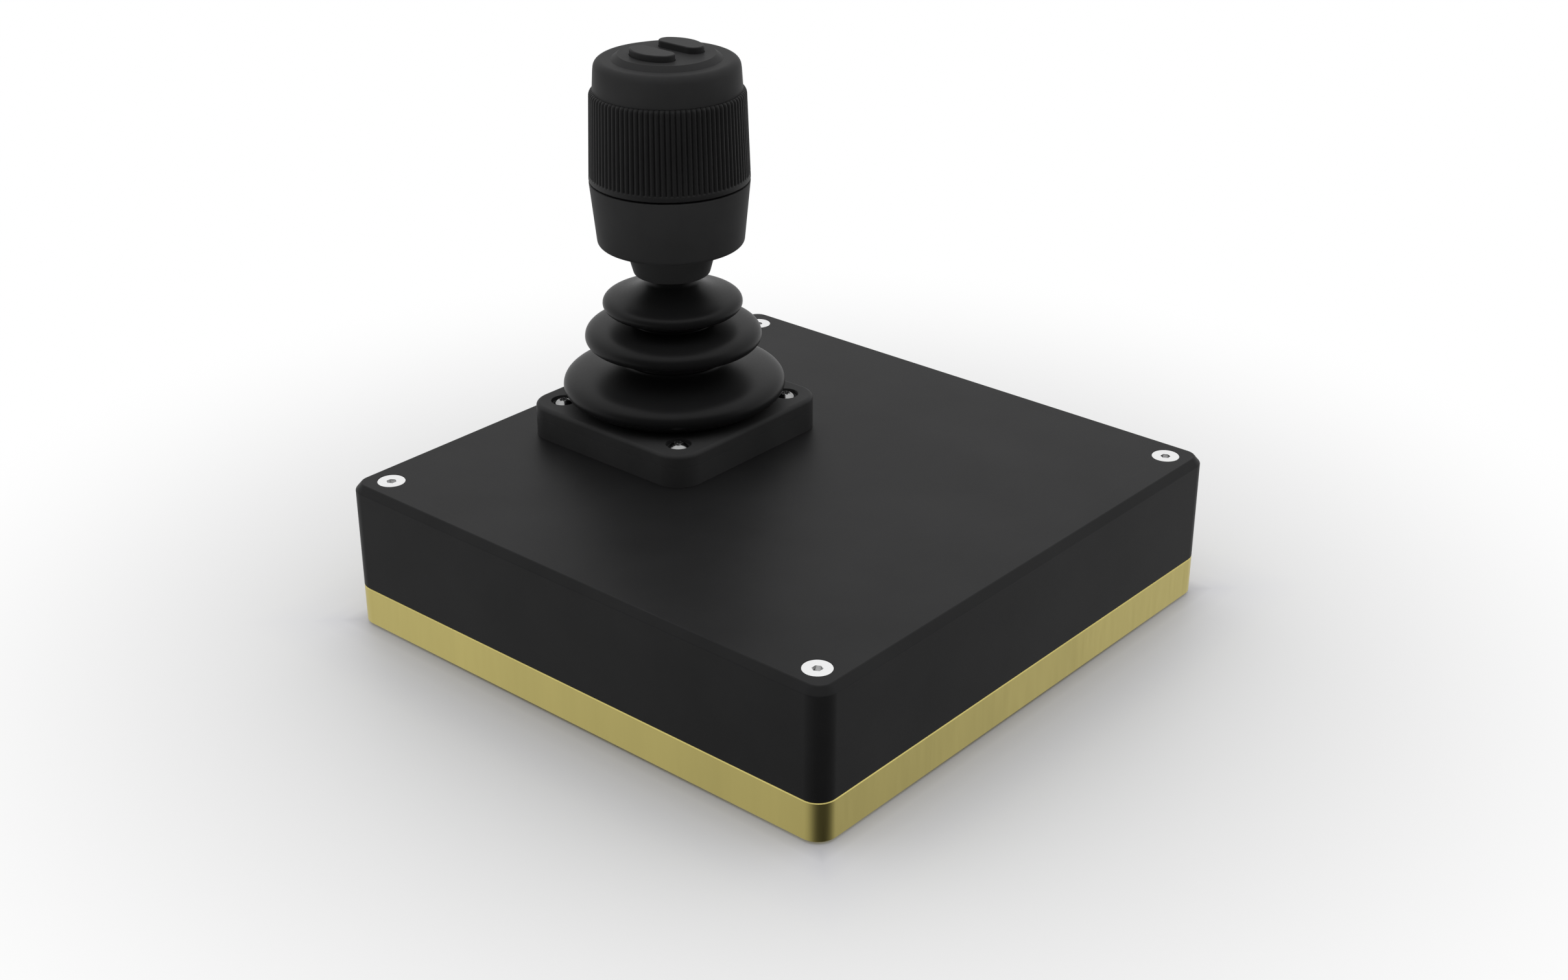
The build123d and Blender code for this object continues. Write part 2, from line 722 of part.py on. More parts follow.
with BuildPart() as neck_cone:
    with BuildSketch(Plane.XZ):
        Polygon((shaft_r + slip_gap, cone_seat), (boot_neck_r + boot_gap, cone_seat),
                (boot_neck_r + boot_gap, cone_bottom), (cone_bottom_r, cone_bottom),
                (cone_top_r, cup_floor_z), (shaft_r + slip_gap, cup_floor_z), align=None)
    revolve(axis=Axis.Z)
    cone_edges = neck_cone.edges().filter_by(GeomType.CIRCLE).group_by(Axis.Z)[0]
    fillet(cone_edges.sort_by(SortBy.RADIUS)[-1], cone_edge_r)
save(Pos(0, stick_y, 0) * neck_cone.part, "neck_cone")

with BuildPart() as handle_cup:
    with BuildSketch(Plane.XZ):
        Polygon((0, cup_floor_z), (cup_bottom_r, cup_floor_z), (cup_top_r, cup_end), (0, cup_end), align=None)
    revolve(axis=Axis.Z)
    cup_edges = handle_cup.edges().filter_by(GeomType.CIRCLE).group_by(Axis.Z)[0]
    fillet(cup_edges.sort_by(SortBy.RADIUS)[-1], cup_edge_r)
    with BuildSketch(Plane.XZ):
        Polygon((0, cup_floor_top), (cup_bottom_r - cup_wall, cup_floor_top), (cup_top_r - cup_wall, cup_end),
                (0, cup_end), align=None)
    revolve(axis=Axis.Z, mode=Mode.SUBTRACT)
    with Locations((0, 0, cup_floor_top)):
        Hole(shaft_r + slip_gap, depth=cup_floor)
        with PolarLocations(spindle_screw_reach, spindle_screw_count):
            Hole(small_screw_r + tapped_gap, depth=small_screw_length - spindle_flange_height + tapped_gap)
save(Pos(0, stick_y, 0) * handle_cup.part, "handle_cup")

with BuildPart() as twist_spindle:
    with BuildSketch(stick_plane(cup_floor_top)):
        Circle(spindle_flange_r)
        with PolarLocations(spindle_screw_reach, spindle_screw_count):
            Circle(small_screw_r + small_hole_gap, mode=Mode.SUBTRACT)
    extrude(amount=spindle_flange_height)
    with BuildSketch(stick_plane(cup_floor_top)):
        Circle(spindle_r)
    extrude(amount=spindle_end - cup_floor_top)
    with BuildSketch(stick_plane(clip_bottom)):
        Circle(spindle_r)
        Circle(clip_inner_r, mode=Mode.SUBTRACT)
    extrude(amount=clip_height, mode=Mode.SUBTRACT)
    with Locations(stick_plane(spindle_end)):
        Hole(shaft_r + slip_gap, depth=spindle_end - cup_floor_top)
save(twist_spindle.part, "twist_spindle")

with BuildPart() as spindle_screws:
    with Locations(stick_plane(cup_floor_top + spindle_flange_height)):
        with PolarLocations(spindle_screw_reach, spindle_screw_count):
            add(small_screw)
save(spindle_screws.part, "spindle_screws")

with BuildPart() as shaft_nut:
    with BuildSketch(stick_plane(spindle_end)):
        RegularPolygon(shaft_nut_width / 2, 6, major_radius=False)
        Circle(shaft_r, mode=Mode.SUBTRACT)
    extrude(amount=shaft_nut_height)
save(shaft_nut.part, "shaft_nut")

with BuildPart() as retaining_clip:
    with BuildSketch(stick_plane(clip_bottom)):
        Circle(carrier_bore_r - small_hole_gap)
        Circle(clip_inner_r, mode=Mode.SUBTRACT)
        with Locations((0, clip_inner_r)):
            Rectangle(clip_inner_r / 2, clip_inner_r, mode=Mode.SUBTRACT)
    extrude(amount=clip_height)
save(retaining_clip.part, "retaining_clip")

with BuildPart() as twist_board:
    with Locations((0, stick_y - twist_board_radius, cup_floor_top)):
        Box(twist_board_width, twist_board_thickness, twist_board_height,
            align=(Align.CENTER, Align.CENTER, Align.MIN))
save(twist_board.part, "twist_board")

# Turning part of the handle

with BuildPart() as twist_bushes:
    for bottom in (carrier_bottom, clip_bottom - fit_gap - twist_bush_length):
        with BuildSketch(stick_plane(bottom)):
            Circle(carrier_bore_r)
            Circle(spindle_r + running_gap, mode=Mode.SUBTRACT)
        extrude(amount=twist_bush_length)
save(twist_bushes.part, "twist_bushes")

with BuildPart() as grip_carrier:
    with BuildSketch(stick_plane(carrier_bottom)):
        Circle(carrier_r)
    extrude(amount=carrier_disc_bottom - carrier_bottom)
    with BuildSketch(stick_plane(carrier_disc_bottom)):
        Circle(cap_spigot_r)
        with PolarLocations(cap_screw_reach, cap_screw_count, start_angle=cap_screw_angle):
            Circle(small_screw_r + small_hole_gap, mode=Mode.SUBTRACT)
    extrude(amount=carrier_disc_height)
    with Locations(stick_plane(button_board_bottom)):
        Hole(carrier_bore_r, depth=button_board_bottom - carrier_bottom)
save(grip_carrier.part, "grip_carrier")

spring_base = stick_plane(carrier_bottom + twist_spring_wire / 2)
spring_radius = carrier_r + tilt_spring_gap + twist_spring_wire / 2
save(coil(twist_spring_wire, spring_radius, twist_spring_height, twist_spring_turns, spring_base),
     "twist_spring")

with BuildPart() as twist_magnet:
    with BuildSketch(stick_plane(twist_magnet_bottom)):
        Circle(carrier_r + twist_magnet_wall)
        Circle(carrier_r, mode=Mode.SUBTRACT)
    extrude(amount=twist_magnet_height)
save(twist_magnet.part, "twist_magnet")


def rib_outline(outer_r):
    """Points of the grip's section: each rib has a flat land between two sloping sides."""
    pitch = 2 * math.pi / rib_count
    land = rib_land * pitch
    points = []
    for rib in range(rib_count):
        middle = rib * pitch
        for angle, radius in ((middle - land / 2, outer_r), (middle + land / 2, outer_r),
                              (middle + pitch / 2, outer_r - rib_depth)):
            points.append((radius * math.cos(angle), radius * math.sin(angle)))
    return points


with BuildPart() as twist_grip:
    with BuildSketch(stick_plane(grip_bottom)):
        Circle(grip_bottom_r)
    extrude(amount=grip_ring_height)
    with BuildSketch(stick_plane(rib_bottom)):
        Polygon(*rib_outline(grip_bottom_r), align=None)
    with BuildSketch(stick_plane(grip_end)):
        Polygon(*rib_outline(grip_top_r), align=None)
    loft(ruled=True)
    with Locations(stick_plane(grip_end)):
        Hole(grip_bore_r, depth=grip_end - grip_bottom)
save(twist_grip.part, "twist_grip")

with BuildPart() as handle_cap:
    with BuildSketch(Plane.XZ):
        Polygon((0, grip_end), (cap_bottom_r, grip_end), (cap_top_r, cap_end), (0, cap_end), align=None)
    revolve(axis=Axis.Z)
    cap_edges = handle_cap.edges().filter_by(GeomType.CIRCLE).group_by(Axis.Z)[-1]
    fillet(cap_edges.sort_by(SortBy.RADIUS)[-1], cap_edge_r)
    with BuildSketch(Plane.XY.offset(button_board_top)):
        Circle(cap_spigot_r)
    extrude(amount=cap_spigot_length)
    with BuildSketch(Plane.XY.offset(button_board_top)):
        Circle(cap_spigot_r - cap_spigot_wall)
        with PolarLocations(cap_screw_reach, cap_screw_count, start_angle=cap_screw_angle):
            Circle(cap_boss_r, mode=Mode.SUBTRACT)
    extrude(amount=disc_under - button_board_top, mode=Mode.SUBTRACT)
    with Locations((0, 0, cap_end)):
        Hole(disc_spigot_r + slip_gap, depth=cap_wall)
    with Locations(Plane.XY.offset(button_board_top).rotated((180, 0, 0))):
        with PolarLocations(cap_screw_reach, cap_screw_count, start_angle=-cap_screw_angle):
            Hole(small_screw_r + tapped_gap, depth=cap_screw_length - carrier_disc_height)
save(Pos(0, stick_y, 0) * handle_cap.part, "handle_cap")

with BuildPart() as cap_screws:
    with Locations(stick_plane(carrier_disc_bottom)):
        with PolarLocations(cap_screw_reach, cap_screw_count, start_angle=cap_screw_angle):
            add(cap_screw, rotation=(180, 0, 0))
save(cap_screws.part, "cap_screws")

with BuildPart() as button_board:
    with BuildSketch(stick_plane(button_board_bottom)):
        Circle(button_board_r)
        with PolarLocations(cap_screw_reach, cap_screw_count, start_angle=cap_screw_angle):
            Circle(small_screw_r + small_hole_gap, mode=Mode.SUBTRACT)
    extrude(amount=board_thickness)
save(button_board.part, "button_board")

with BuildPart() as button_switches:
    for side in (-1, 1):
        with BuildSketch(stick_plane(button_board_top)):
            with Locations((side * button_centre, 0)):
                Rectangle(switch_size, switch_size)
        extrude(amount=switch_height)
        with BuildSketch(stick_plane(button_board_top + switch_height)):
            with Locations((side * button_centre, 0)):
                Circle(plunger_r)
        extrude(amount=plunger_height)
save(button_switches.part, "button_switches")

with BuildPart() as button_disc:
    with BuildSketch(Plane.XZ):
        Polygon((0, disc_under), (disc_spigot_r, disc_under), (disc_spigot_r, cap_end),
                (disc_base_r, cap_end), (disc_top_r, disc_end), (0, disc_end), align=None)
    revolve(axis=Axis.Z)
    for side in (-1, 1):
        with BuildSketch(Plane.XY.offset(disc_under)):
            add(button_outline(side, button_gap))
    extrude(amount=disc_end - disc_under, mode=Mode.SUBTRACT)
save(Pos(0, stick_y, 0) * button_disc.part, "button_disc")


def push_button(side):
    """One button: its cap, the lip that holds it in, and the stem that works its switch."""
    lip_top = disc_under - slip_gap
    lip_bottom = lip_top - button_lip_height
    stem_end = plunger_top + button_travel + contact_gap
    with BuildPart() as button:
        with BuildSketch(Plane.XY.offset(lip_top)):
            add(button_outline(side, 0))
        extrude(amount=button_top - lip_top)
        fillet(button.faces().sort_by(Axis.Z)[-1].edges(), button_edge_r)
        with BuildSketch(Plane.XY.offset(lip_bottom)):
            add(button_outline(side, button_lip))
        extrude(amount=button_lip_height)
        with BuildSketch(Plane.XY.offset(stem_end)):
            with Locations((side * button_centre, 0)):
                Circle(button_stem_r)
        extrude(amount=lip_bottom - stem_end)
    return Pos(0, stick_y, 0) * button.part


def button_spring(side):
    """Return spring round a button's stem, from the switch to the lip."""
    seat = button_board_top + switch_height
    room = disc_under - slip_gap - button_lip_height - seat - 2 * slip_gap
    radius = button_stem_r + tilt_spring_gap + button_spring_wire / 2
    base = Plane((side * button_centre, stick_y, seat + slip_gap + button_spring_wire / 2), z_dir=(0, 0, 1))
    return coil(button_spring_wire, radius, room - button_spring_wire, button_spring_turns, base)


for side, word in ((-1, "left"), (1, "right")):
    save(push_button(side), f"{word}_button")
    save(button_spring(side), f"{word}_button_spring")

# Electronics in the box

board_bottom = tray_floor_top + spacer_height
board_top = board_bottom + board_thickness
board_hole_x = main_board_width - 2 * board_hole_inset
board_hole_y = main_board_depth - 2 * board_hole_inset


def board_plane(height):
    """Horizontal plane through the main board's middle."""
    return Plane((0, main_board_y, height), x_dir=(1, 0, 0), z_dir=(0, 0, 1))


with BuildPart() as board_spacers:
    with BuildSketch(board_plane(tray_floor_top)):
        with GridLocations(board_hole_x, board_hole_y, 2, 2):
            RegularPolygon(spacer_width / 2, 6, major_radius=False)
            Circle(board_screw_r + tapped_gap, mode=Mode.SUBTRACT)
    extrude(amount=spacer_height)
save(board_spacers.part, "board_spacers")

with BuildPart() as main_board:
    with BuildSketch(board_plane(board_bottom)):
        Rectangle(main_board_width, main_board_depth)
        with GridLocations(board_hole_x, board_hole_y, 2, 2):
            Circle(board_hole_r, mode=Mode.SUBTRACT)
    extrude(amount=board_thickness)
save(main_board.part, "main_board")

with BuildPart() as board_screws:
    with Locations(board_plane(board_top)):
        with GridLocations(board_hole_x, board_hole_y, 2, 2):
            add(board_screw)
save(board_screws.part, "board_screws")

with BuildPart() as main_chips:
    for x, y, size, height in main_chip_sizes:
        with Locations((x, main_board_y + y, board_top)):
            Box(size, size, height, align=(Align.CENTER, Align.CENTER, Align.MIN))
save(main_chips.part, "main_chips")

with BuildPart() as board_header:
    with Locations((0, main_board_y + main_board_depth / 2 - header_size[1], board_top)):
        Box(*header_size, align=(Align.CENTER, Align.CENTER, Align.MIN))
save(board_header.part, "board_header")

# Cable socket


def socket_plane(depth):
    """Upright plane at a depth behind the rear face, facing into the box."""
    return Plane((socket_x, rear_face - depth, socket_height), x_dir=(1, 0, 0), z_dir=(0, -1, 0))


with BuildPart() as panel_socket:
    with BuildSketch(socket_plane(0)):
        Circle(socket_flange_r)
    extrude(amount=socket_flange_height)
    with BuildSketch(socket_plane(0)):
        Circle(socket_r)
    extrude(amount=socket_length)
    with BuildSketch(socket_plane(0)):
        Circle(socket_bore_r)
    extrude(amount=socket_depth, mode=Mode.SUBTRACT)
    with BuildSketch(socket_plane(0)):
        Circle(socket_insert_r)
    extrude(amount=socket_length, mode=Mode.SUBTRACT)
save(panel_socket.part, "panel_socket")

with BuildPart() as socket_insert:
    with BuildSketch(socket_plane(socket_insert_setback)):
        Circle(socket_insert_r)
        Circle(socket_pin_r, mode=Mode.SUBTRACT)
        with PolarLocations(socket_pin_reach, socket_pin_count, start_angle=socket_pin_angle):
            Circle(socket_pin_r, mode=Mode.SUBTRACT)
    extrude(amount=socket_length - socket_insert_setback)
save(socket_insert.part, "socket_insert")

with BuildPart() as socket_contacts:
    with BuildSketch(socket_plane(socket_depth)):
        Circle(socket_pin_r)
        with PolarLocations(socket_pin_reach, socket_pin_count, start_angle=socket_pin_angle):
            Circle(socket_pin_r)
    extrude(amount=socket_length - socket_depth + socket_contact_length)
save(socket_contacts.part, "socket_contacts")

with BuildPart() as socket_nut:
    with BuildSketch(socket_plane(wall)):
        RegularPolygon(socket_nut_width / 2, 6, major_radius=False)
        Circle(socket_r + slip_gap, mode=Mode.SUBTRACT)
    extrude(amount=socket_nut_height)
save(socket_nut.part, "socket_nut")
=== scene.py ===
import json
import math

import bmesh
import bpy
import numpy as np
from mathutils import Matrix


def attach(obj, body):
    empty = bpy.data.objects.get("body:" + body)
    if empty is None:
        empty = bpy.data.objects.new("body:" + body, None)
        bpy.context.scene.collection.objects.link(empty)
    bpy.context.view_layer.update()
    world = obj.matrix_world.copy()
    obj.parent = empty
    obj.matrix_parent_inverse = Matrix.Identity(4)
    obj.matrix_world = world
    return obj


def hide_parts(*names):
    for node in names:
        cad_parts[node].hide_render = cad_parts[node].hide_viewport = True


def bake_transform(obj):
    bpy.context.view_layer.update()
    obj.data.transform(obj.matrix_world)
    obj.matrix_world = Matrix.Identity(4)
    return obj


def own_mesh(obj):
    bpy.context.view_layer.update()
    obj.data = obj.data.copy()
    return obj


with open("model.json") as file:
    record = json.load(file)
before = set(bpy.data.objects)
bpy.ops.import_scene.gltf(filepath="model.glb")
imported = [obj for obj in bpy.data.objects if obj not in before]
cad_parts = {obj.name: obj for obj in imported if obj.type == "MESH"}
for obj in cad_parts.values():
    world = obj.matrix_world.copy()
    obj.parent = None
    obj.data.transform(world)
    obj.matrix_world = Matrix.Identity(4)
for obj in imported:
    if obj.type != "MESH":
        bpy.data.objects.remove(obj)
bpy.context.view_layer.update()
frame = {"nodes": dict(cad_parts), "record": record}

mm = 0.001
stickY = 42.15                 # the stick's axis, mm behind the middle of the case
caseTop = 44.6                 # top face of the case, mm above the floor
print("frame loaded,", len(frame["nodes"]), "CAD nodes")


# An object for a mesh or a camera, at the origin and unturned.
def addObject(name, data):
    added = bpy.data.objects.new(name, data)
    bpy.context.scene.collection.objects.link(added)
    return added


# Shades a mesh smooth, except across edges sharper than the angle.
def smoothMesh(mesh, angle):
    mesh.polygons.foreach_set("use_smooth", [True] * len(mesh.polygons))
    mesh.set_sharp_from_angle(angle=math.radians(angle))


# Makes one piece from points in millimetres and quads. Equal points are welded, so that seams and poles close: a
# quad with two equal corners becomes a triangle, and one with fewer than three different corners goes.
def makePiece(name, points, quads, smoothAngle):
    keys = np.round(points * 1e4).astype(np.int64)  # equal within 0.1 micrometre
    _, first, index = np.unique(keys, axis=0, return_index=True, return_inverse=True)
    corners = index.reshape(-1)[quads]
    kept = corners != np.roll(corners, 1, axis=1)
    whole = kept.sum(1) > 2
    ends = np.cumsum(kept[whole].sum(1))[:-1]
    faces = [ring.tolist() for ring in np.split(corners[whole][kept[whole]], ends)]
    mesh = bpy.data.meshes.new(name)
    mesh.from_pydata((points[first] * mm).tolist(), [], faces)
    smoothMesh(mesh, smoothAngle)
    mesh.update()
    return addObject(name, mesh)


# Quads of a rows by columns grid of points, whose columns close on themselves.
def gridFaces(rows, columns):
    i, j = np.meshgrid(np.arange(rows - 1), np.arange(columns), indexing="ij")
    nextJ = (j + 1) % columns
    return np.stack([i * columns + j, i * columns + nextJ,
                     (i + 1) * columns + nextJ, (i + 1) * columns + j], -1).reshape(-1, 4)


# Piece turned about the stick's axis: x, y = axis + radius * (cos a, sin a), z = case top + height. The rows of a
# profile are (radius, height above the case), and the outside is on the right where it rises.
def turnPiece(name, profile, segments, smoothAngle):
    profile = np.asarray(profile, float)
    angle = np.linspace(0, 2 * math.pi, segments, endpoint=False)
    radius, height = profile[:, 0:1], profile[:, 1:2] + caseTop
    points = np.stack([radius * np.cos(angle), stickY + radius * np.sin(angle), height + 0 * angle], -1)
    return makePiece(name, points.reshape(-1, 3), gridFaces(len(profile), segments), smoothAngle)


# Circular arc in the radius-height plane: centre + radius * (cos a, sin a), angles in degrees.
def arc(centre, radius, start, end, steps=6):
    a = np.radians(np.linspace(start, end, steps + 1))
    return np.stack([centre[0] + radius * np.cos(a), centre[1] + radius * np.sin(a)], -1)


# Cubic curve: the four points weighted by (1-t)^3, 3(1-t)^2 t, 3(1-t) t^2 and t^3.
def bezier(p0, p1, p2, p3, steps=24):
    t = np.linspace(0, 1, steps + 1)[:, None]
    return (1 - t) ** 3 * np.array(p0) + 3 * (1 - t) ** 2 * t * np.array(p1) \
        + 3 * (1 - t) * t ** 2 * np.array(p2) + t ** 3 * np.array(p3)


# Rounded foot of a wall that leans out by an angle: an arc tangent to the level underside and to the side.
def roundedFoot(radius, bottom, edge, lean):
    inset = edge * (math.tan(math.radians(lean)) - 1 / math.cos(math.radians(lean)))
    return arc((radius + inset, bottom + edge), edge, -90, -lean, 8)


edgeWork = {
    "weld": 0.002,    # corners closer than this are one, mm
    "flat": 0.8,      # facets that differ by less are joined, degrees
    "sharp": 28.0,    # edges sharper than this are rounded, degrees
}


# A merged copy of a CAD node's mesh with its sharp edges rounded by the given width and steps. With a rim, only
# edges that lie closer than that to the piece's outer sides are rounded, so that fine inner features don't hold
# the width back.
def softEdged(name, node, width, steps=3, rim=0.0):
    mesh = frame["nodes"][node].data.copy()
    mesh.name = name
    mesh.materials.clear()
    work = bmesh.new()
    work.from_mesh(mesh)
    bmesh.ops.remove_doubles(work, verts=work.verts, dist=edgeWork["weld"] * mm)
    bmesh.ops.dissolve_limit(work, angle_limit=math.radians(edgeWork["flat"]), verts=work.verts,
                             edges=work.edges)
    places = np.array([v.co for v in work.verts])[:, :2]
    inward = np.minimum(places - places.min(0), places.max(0) - places).min(1)
    sharp = math.radians(edgeWork["sharp"])
    edges = [e for e in work.edges if len(e.link_faces) == 2 and e.calc_face_angle() > sharp
             and (not rim or max(inward[v.index] for v in e.verts) < rim * mm)]
    if width:
        bmesh.ops.bevel(work, geom=edges, offset=width * mm, segments=steps, profile=0.5, affect="EDGES",
                        clamp_overlap=True)
    work.to_mesh(mesh)
    work.free()
    smoothMesh(mesh, edgeWork["sharp"])
    piece = addObject(name, mesh)
    level = piece.modifiers.new("flatShading", "WEIGHTED_NORMAL")  # large faces stay flat, the rounding shades
    level.weight = 100
    level.keep_sharp = True
    return piece


# Adds a node: each input is given a value or the socket that feeds it, and other settings follow by name.
def addNode(tree, kind, inputs, **settings):
    added = tree.nodes.new("ShaderNode" + kind)
    for key, value in settings.items():
        setattr(added, key, value)
    for socket, value in inputs.items():
        if isinstance(value, bpy.types.NodeSocket):
            tree.links.new(value, added.inputs[socket])
        else:
            added.inputs[socket].default_value = value
    return added


# Carries a value from one range to another and holds it at both ends.
def mapRange(tree, value, start, end, low=0.0, high=1.0, kind="LINEAR"):
    return addNode(tree, "MapRange", {"Value": value, "From Min": start, "From Max": end, "To Min": low,
                                      "To Max": high}, interpolation_type=kind).outputs["Result"]


# Colour ramp through stops of (place, colour).
def colourRamp(tree, value, stops):
    ramp = addNode(tree, "ValToRGB", {"Fac": value})
    elements = ramp.color_ramp.elements
    for element, (position, colour) in zip(elements, (stops[0], stops[-1])):
        element.position = position
        element.color = (*colour, 1)
    for position, colour in stops[1:-1]:
        elements.new(position).color = (*colour, 1)
    return ramp.outputs["Color"]


surface = {
    "patches": 35.0, "patchDetail": 4.0,    # size of the broad tone changes, per metre, and their detail
    "grainDetail": 3.0,
    "lowTone": 0.3, "highTone": 0.7,        # where the tone reaches its darkest and lightest
    "grainHeight": 0.00004,                 # metres
}


# One finish: broad soft tone changes, fine grain in the bump, and a roughness that wanders a little. With a
# recess, painted shade darkens the colour of what lies below its top, such as a screw's socket.
def mouldedFinish(name, colour, roughness, grain=2600.0, bump=0.15, specular=0.3, spread=0.18, metallic=0.0,
                  roughSpread=0.06, stretch=(1, 1, 1), anisotropic=0.0, recess=None):
    material = bpy.data.materials.new(name)
    material.use_nodes = True
    tree = material.node_tree
    shader = tree.nodes["Principled BSDF"]
    shader.inputs["Metallic"].default_value = metallic
    shader.inputs["Specular IOR Level"].default_value = specular
    shader.inputs["Anisotropic"].default_value = anisotropic
    place = addNode(tree, "TexCoord", {}).outputs["Object"]
    turned = addNode(tree, "Mapping", {"Vector": place, "Scale": stretch}).outputs["Vector"]
    broad = addNode(tree, "TexNoise", {"Vector": turned, "Scale": surface["patches"],
                                       "Detail": surface["patchDetail"]}).outputs["Fac"]
    fine = addNode(tree, "TexNoise", {"Vector": turned, "Scale": grain,
                                      "Detail": surface["grainDetail"]}).outputs["Fac"]
    tone = colourRamp(tree, broad, ((surface["lowTone"], [c * (1 - spread) for c in colour]),
                                    (surface["highTone"], [min(1, c * (1 + spread)) for c in colour])))
    if recess:
        # painted shade below the recess's top: the colour is scaled down with depth
        height = addNode(tree, "SeparateXYZ", {"Vector": place}).outputs["Z"]
        depth = mapRange(tree, height, recess["top"] - recess["full"] * mm,
                         recess["top"] - recess["start"] * mm, low=recess["shade"])
        tone = addNode(tree, "VectorMath", {0: tone, "Scale": depth}, operation="SCALE").outputs["Vector"]
    tree.links.new(tone, shader.inputs["Base Color"])
    tree.links.new(mapRange(tree, fine, 0.0, 1.0, roughness - roughSpread, roughness + roughSpread),
                   shader.inputs["Roughness"])
    relief = addNode(tree, "Bump", {"Strength": bump, "Distance": surface["grainHeight"], "Height": fine})
    tree.links.new(relief.outputs["Normal"], shader.inputs["Normal"])
    return material


# Painted shade: below the corner screws' top their colour is darkened, in the sockets and on the rounding of the
# heads' rims.
screwSocketPaintedShade = {
    "top": max(v.co.z for v in frame["nodes"]["case_screws"].data.vertices),  # the corner screws' flat top
    "start": 0.02, "full": 0.2,    # where the painted shade starts and is full, mm below the top
    "shade": 0.78,
}
finishes = {
    "case_black": mouldedFinish("beadBlastedBlack", (0.0146, 0.0146, 0.0150), 0.46, grain=4200, bump=0.25,
                                specular=0.155),
    "case_gold": mouldedFinish("satinGoldAnodising", (0.72, 0.615, 0.215), 0.33, grain=900, bump=0.12,
                               metallic=1.0, spread=0.05, stretch=(1, 1, 0.08), anisotropic=0.55,
                               specular=0.5),
    "screw_steel": mouldedFinish("polishedScrewSteelWithPaintedSocketShade", (1.0, 1.0, 1.0), 0.15, grain=3000, bump=0.03,
                                 metallic=1.0, spread=0.02, roughSpread=0.03, specular=0.5,
                                 recess=screwSocketPaintedShade),
    "flangeScrews": mouldedFinish("domedScrewSteel", (0.37, 0.37, 0.37), 0.2, grain=3000, bump=0.03,
                                  metallic=1.0, spread=0.03, roughSpread=0.03, specular=0.5),
    "handle_plastic": mouldedFinish("handleNylon", (0.0420, 0.0420, 0.0425), 0.46, grain=3600, bump=0.3,
                                    specular=0.03),
    "grip_plastic": mouldedFinish("gripElastomer", (0.0215, 0.0215, 0.0219), 0.5, grain=3600, bump=0.3,
                                  specular=0.17),
    "bezel_plastic": mouldedFinish("flangeNylon", (0.0500, 0.0500, 0.0505), 0.42, grain=3000, bump=0.2,
                                   specular=0.03),
    "boot_rubber": mouldedFinish("bootRubber", (0.0125, 0.0125, 0.0129), 0.36, grain=1800, bump=0.1,
                                 specular=0.15),
    "button_plastic": mouldedFinish("buttonPlastic", (0.0400, 0.0400, 0.0405), 0.44, grain=3600, bump=0.2,
                                    specular=0.05),
    "seal_rubber": mouldedFinish("sealRubber", (0.012, 0.012, 0.012), 0.7, grain=1500),
    "foot_rubber": mouldedFinish("footRubber", (0.02, 0.02, 0.021), 0.75, grain=1200, bump=0.4),
    "bright_steel": mouldedFinish("groundSteel", (0.62, 0.63, 0.65), 0.28, grain=2200, metallic=1.0,
                                  stretch=(1, 1, 0.1), spread=0.06),
    "bush_bronze": mouldedFinish("sinteredBronze", (0.60, 0.42, 0.20), 0.45, grain=2500, metallic=1.0,
                                 bump=0.5, spread=0.12),
    "spring_steel": mouldedFinish("springWire", (0.45, 0.46, 0.48), 0.32, grain=3000, metallic=1.0),
    "magnet_nickel": mouldedFinish("nickelledMagnet", (0.68, 0.67, 0.64), 0.2, grain=1500, metallic=1.0,
                                   spread=0.05),
    "cast_zinc": mouldedFinish("castZinc", (0.46, 0.47, 0.49), 0.5, grain=900, metallic=1.0, bump=0.6),
    "hub_plastic": mouldedFinish("glassFilledNylon", (0.10, 0.10, 0.11), 0.55, grain=1600, bump=0.4),
    "board_green": mouldedFinish("solderMask", (0.02, 0.16, 0.07), 0.35, grain=1200, spread=0.1),
    "chip_black": mouldedFinish("mouldedEpoxy", (0.03, 0.03, 0.03), 0.4, grain=3000, bump=0.4),
    "header_cream": mouldedFinish("naturalNylon", (0.78, 0.74, 0.62), 0.45, grain=1500, spread=0.04),
    "socket_nickel": mouldedFinish("nickelledBrass", (0.66, 0.65, 0.62), 0.22, grain=2500, metallic=1.0,
                                   spread=0.05),
    "socket_black": mouldedFinish("insulator", (0.02, 0.02, 0.02), 0.5, grain=2500),
    "contact_gold": mouldedFinish("goldPlating", (0.80, 0.62, 0.26), 0.2, grain=2500, metallic=1.0,
                                  spread=0.05),
}
for row in frame["record"]["subparts"]:
    target = frame["nodes"][row["node"]]
    target.data.materials.clear()
    target.data.materials.append(finishes[row["material_slot"]])
print("finishes made,", len(finishes))


# Gives a new piece its finish, its own or else the slot's, its body, and the CAD nodes that it stands for.
def dress(piece, slot, body, *nodes):
    piece.data.materials.append(finishes.get(piece.name, finishes[slot]))
    if body:
        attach(piece, body)
    if nodes:
        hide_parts(*nodes)


